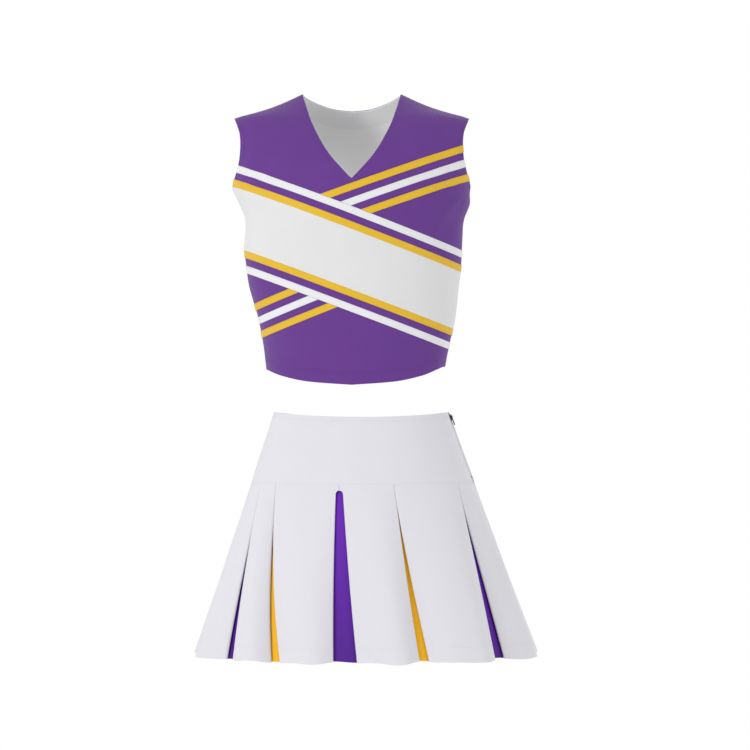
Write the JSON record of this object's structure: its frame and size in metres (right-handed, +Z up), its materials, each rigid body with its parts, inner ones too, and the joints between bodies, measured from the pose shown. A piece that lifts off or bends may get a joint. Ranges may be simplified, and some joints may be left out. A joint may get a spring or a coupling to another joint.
{
  "type": "cheer uniform",
  "caption": "Two-piece cheer uniform: a sleeveless V-neck shell top with a diagonal sash and crossed braids, over a flared box-pleated skirt with coloured inserts and a side zip.",
  "frame": {"origin": "centre of the skirt's waist opening, level with the waistline's side points", "axes": "+Z up towards the neck, -Y the front, +X the viewer's right, which is the wearer's left"},
  "size_m": [0.4961, 0.403, 0.8131],
  "materials": {
    "purple_knit": "matt double-knit polyester, violet",
    "lining": "thin white lining",
    "facing": "white edge facing",
    "white_twill": "white twill sash",
    "gold_braid": "golden yellow woven braid",
    "white_braid": "white woven braid",
    "skirt_white": "white double-knit with a faint sheen",
    "insert_purple": "violet pleat insert",
    "insert_gold": "golden yellow pleat insert",
    "zip_tape": "white nylon tape and coil",
    "zip_metal": "dark enamelled die casting",
    "hook_metal": "nickel-plated wire and plate"
  },
  "bodies": {
    "skirt": {"yoke_front": "skirt_white", "yoke_back": "skirt_white", "waist_facing_front": "facing", "waist_facing_back": "facing", "zip_tape": "zip_tape", "zip_coil_front": "zip_tape", "zip_coil_back": "zip_tape", "zip_top_stops": "zip_tape", "zip_bottom_stop": "zip_tape", "waist_hook": "hook_metal", "waist_eye": "hook_metal"},
    "shell_top": {"shell_front_left": "purple_knit", "shell_front_right": "purple_knit", "shell_back_left": "purple_knit", "shell_back_right": "purple_knit", "lining_front": "lining", "lining_back": "lining", "neck_facing_front": "facing", "neck_facing_back": "facing", "armhole_facing_left": "facing", "armhole_facing_right": "facing", "hem_tape": "lining", "sash_panel": "white_twill", "sash_braid_gold_upper": "gold_braid", "sash_braid_white_upper": "white_braid", "sash_braid_gold_lower": "gold_braid", "sash_braid_white_lower": "white_braid", "cross_upper_gold_top": "gold_braid", "cross_upper_white": "white_braid", "cross_upper_gold_low": "gold_braid", "cross_lower_gold_top": "gold_braid", "cross_lower_white": "white_braid", "cross_lower_gold_low": "gold_braid"},
    "pleat_01_panel": {"pleat_01": "skirt_white"},
    "pleat_02_panel": {"pleat_02": "skirt_white"},
    "pleat_03_panel": {"pleat_03": "skirt_white"},
    "pleat_04_panel": {"pleat_04": "skirt_white"},
    "pleat_05_panel": {"pleat_05": "skirt_white"},
    "pleat_06_panel": {"pleat_06": "skirt_white"},
    "pleat_07_panel": {"pleat_07": "skirt_white"},
    "pleat_08_panel": {"pleat_08": "skirt_white"},
    "pleat_09_panel": {"pleat_09": "skirt_white"},
    "pleat_10_panel": {"pleat_10": "skirt_white"},
    "pleat_11_panel": {"pleat_11": "skirt_white"},
    "pleat_12_panel": {"pleat_12": "skirt_white"},
    "insert_01_panel": {"insert_01_purple": "insert_purple"},
    "insert_02_panel": {"insert_02_gold": "insert_gold"},
    "insert_03_panel": {"insert_03_purple": "insert_purple"},
    "insert_04_panel": {"insert_04_gold": "insert_gold"},
    "insert_05_panel": {"insert_05_purple": "insert_purple"},
    "insert_06_panel": {"insert_06_gold": "insert_gold"},
    "insert_07_panel": {"insert_07_purple": "insert_purple"},
    "insert_08_panel": {"insert_08_gold": "insert_gold"},
    "insert_09_panel": {"insert_09_purple": "insert_purple"},
    "insert_10_panel": {"insert_10_gold": "insert_gold"},
    "insert_11_panel": {"insert_11_purple": "insert_purple"},
    "insert_12_panel": {"insert_12_gold": "insert_gold"},
    "zip_slider_body": {"zip_slider": "zip_metal"},
    "zip_tab_body": {"zip_pull_tab": "zip_metal"}
  },
  "joints": [
    {"name": "pleat_01_flare", "type": "hinge", "parent": "skirt", "child": "pleat_01_panel", "pos_m": [0.00776, -0.12556, -0.1021], "axis": [-0.9997, -0.0261, 0], "range_deg": [0, 20]},
    {"name": "pleat_02_flare", "type": "hinge", "parent": "skirt", "child": "pleat_02_panel", "pos_m": [0.09879, -0.10095, -0.1021], "axis": [-0.867, -0.4984, 0], "range_deg": [0, 20]},
    {"name": "pleat_03_flare", "type": "hinge", "parent": "skirt", "child": "pleat_03_panel", "pos_m": [0.15611, -0.03959, -0.1021], "axis": [-0.3934, -0.9194, 0], "range_deg": [0, 20]},
    {"name": "pleat_04_flare", "type": "hinge", "parent": "skirt", "child": "pleat_04_panel", "pos_m": [0.16165, 0.0229, -0.1021], "axis": [0.2329, -0.9725, 0], "range_deg": [0, 20]},
    {"name": "pleat_05_flare", "type": "hinge", "parent": "skirt", "child": "pleat_05_panel", "pos_m": [0.12643, 0.08078, -0.1021], "axis": [0.7348, -0.6783, 0], "range_deg": [0, 20]},
    {"name": "pleat_06_flare", "type": "hinge", "parent": "skirt", "child": "pleat_06_panel", "pos_m": [0.05641, 0.11843, -0.1021], "axis": [0.9644, -0.2644, 0], "range_deg": [0, 20]},
    {"name": "pleat_07_flare", "type": "hinge", "parent": "skirt", "child": "pleat_07_panel", "pos_m": [-0.02995, 0.12311, -0.1021], "axis": [0.9878, 0.156, 0], "range_deg": [0, 20]},
    {"name": "pleat_08_flare", "type": "hinge", "parent": "skirt", "child": "pleat_08_panel", "pos_m": [-0.10604, 0.09337, -0.1021], "axis": [0.8199, 0.5725, 0], "range_deg": [0, 20]},
    {"name": "pleat_09_flare", "type": "hinge", "parent": "skirt", "child": "pleat_09_panel", "pos_m": [-0.15174, 0.03883, -0.1021], "axis": [0.3862, 0.9224, 0], "range_deg": [0, 20]},
    {"name": "pleat_10_flare", "type": "hinge", "parent": "skirt", "child": "pleat_10_panel", "pos_m": [-0.15682, -0.02349, -0.1021], "axis": [-0.2387, 0.9711, 0], "range_deg": [0, 20]},
    {"name": "pleat_11_flare", "type": "hinge", "parent": "skirt", "child": "pleat_11_panel", "pos_m": [-0.13499, -0.06665, -0.1021], "axis": [-0.6282, 0.778, 0], "range_deg": [0, 20]},
    {"name": "pleat_12_flare", "type": "hinge", "parent": "skirt", "child": "pleat_12_panel", "pos_m": [-0.08161, -0.10744, -0.1021], "axis": [-0.9052, 0.425, 0], "range_deg": [0, 20]},
    {"name": "insert_01_flare", "type": "hinge", "parent": "skirt", "child": "insert_01_panel", "pos_m": [-0.03789, -0.11778, -0.10324], "axis": [-0.9801, 0.1985, 0], "range_deg": [0, 17.6]},
    {"name": "insert_02_flare", "type": "hinge", "parent": "skirt", "child": "insert_02_panel", "pos_m": [0.05471, -0.11493, -0.10328], "axis": [-0.9653, -0.2613, 0], "range_deg": [0, 17.6]},
    {"name": "insert_03_flare", "type": "hinge", "parent": "skirt", "child": "insert_03_panel", "pos_m": [0.13081, -0.07109, -0.10339], "axis": [-0.6822, -0.7311, 0], "range_deg": [0, 17.6]},
    {"name": "insert_04_flare", "type": "hinge", "parent": "skirt", "child": "insert_04_panel", "pos_m": [0.16024, -0.00828, -0.10347], "axis": [-0.088, -0.9961, 0], "range_deg": [0, 17.6]},
    {"name": "insert_05_flare", "type": "hinge", "parent": "skirt", "child": "insert_05_panel", "pos_m": [0.14567, 0.05162, -0.10343], "axis": [0.5199, -0.8542, 0], "range_deg": [0, 17.6]},
    {"name": "insert_06_flare", "type": "hinge", "parent": "skirt", "child": "insert_06_panel", "pos_m": [0.09289, 0.09987, -0.10332], "axis": [0.8808, -0.4735, 0], "range_deg": [0, 17.6]},
    {"name": "insert_07_flare", "type": "hinge", "parent": "skirt", "child": "insert_07_panel", "pos_m": [0.01344, 0.1215, -0.10325], "axis": [0.9985, -0.0539, 0], "range_deg": [0, 17.6]},
    {"name": "insert_08_flare", "type": "hinge", "parent": "skirt", "child": "insert_08_panel", "pos_m": [-0.06919, 0.10861, -0.10324], "axis": [0.9313, 0.3643, 0], "range_deg": [0, 17.6]},
    {"name": "insert_09_flare", "type": "hinge", "parent": "skirt", "child": "insert_09_panel", "pos_m": [-0.13061, 0.06596, -0.10328], "axis": [0.6418, 0.7669, 0], "range_deg": [0, 17.6]},
    {"name": "insert_10_flare", "type": "hinge", "parent": "skirt", "child": "insert_10_panel", "pos_m": [-0.15555, 0.00761, -0.10332], "axis": [0.0808, 0.9967, 0], "range_deg": [0, 17.6]},
    {"name": "insert_11_flare", "type": "hinge", "parent": "skirt", "child": "insert_11_panel", "pos_m": [-0.1451, -0.04412, -0.1033], "axis": [-0.4513, 0.8924, 0], "range_deg": [0, 17.6]},
    {"name": "insert_12_flare", "type": "hinge", "parent": "skirt", "child": "insert_12_panel", "pos_m": [-0.10908, -0.08642, -0.10326], "axis": [-0.7946, 0.6072, 0], "range_deg": [0, 17.6]},
    {"name": "zip_slide", "type": "slide", "parent": "skirt", "child": "zip_slider_body", "axis": [0.3407, -0.0392, -0.9394], "range_m": [0, 0.085]},
    {"name": "zip_tab_hinge", "type": "hinge", "parent": "zip_slider_body", "child": "zip_tab_body", "pos_m": [0.13023, -0.0139, -0.00538], "axis": [-0.1764, -0.9841, -0.0229], "range_deg": [0, 150]},
    {"name": "top_lift", "type": "slide", "parent": "skirt", "child": "shell_top", "axis": [0, 0, 1], "range_m": [0, 0.45]}
  ],
  "couplings": [
    {"joint": "pleat_02_flare", "follows": "pleat_01_flare", "ratio": 1},
    {"joint": "pleat_03_flare", "follows": "pleat_01_flare", "ratio": 1},
    {"joint": "pleat_04_flare", "follows": "pleat_01_flare", "ratio": 1},
    {"joint": "pleat_05_flare", "follows": "pleat_01_flare", "ratio": 1},
    {"joint": "pleat_06_flare", "follows": "pleat_01_flare", "ratio": 1},
    {"joint": "pleat_07_flare", "follows": "pleat_01_flare", "ratio": 1},
    {"joint": "pleat_08_flare", "follows": "pleat_01_flare", "ratio": 1},
    {"joint": "pleat_09_flare", "follows": "pleat_01_flare", "ratio": 1},
    {"joint": "pleat_10_flare", "follows": "pleat_01_flare", "ratio": 1},
    {"joint": "pleat_11_flare", "follows": "pleat_01_flare", "ratio": 1},
    {"joint": "pleat_12_flare", "follows": "pleat_01_flare", "ratio": 1},
    {"joint": "insert_01_flare", "follows": "pleat_01_flare", "ratio": 0.88},
    {"joint": "insert_02_flare", "follows": "pleat_01_flare", "ratio": 0.88},
    {"joint": "insert_03_flare", "follows": "pleat_01_flare", "ratio": 0.88},
    {"joint": "insert_04_flare", "follows": "pleat_01_flare", "ratio": 0.88},
    {"joint": "insert_05_flare", "follows": "pleat_01_flare", "ratio": 0.88},
    {"joint": "insert_06_flare", "follows": "pleat_01_flare", "ratio": 0.88},
    {"joint": "insert_07_flare", "follows": "pleat_01_flare", "ratio": 0.88},
    {"joint": "insert_08_flare", "follows": "pleat_01_flare", "ratio": 0.88},
    {"joint": "insert_09_flare", "follows": "pleat_01_flare", "ratio": 0.88},
    {"joint": "insert_10_flare", "follows": "pleat_01_flare", "ratio": 0.88},
    {"joint": "insert_11_flare", "follows": "pleat_01_flare", "ratio": 0.88},
    {"joint": "insert_12_flare", "follows": "pleat_01_flare", "ratio": 0.88}
  ]
}
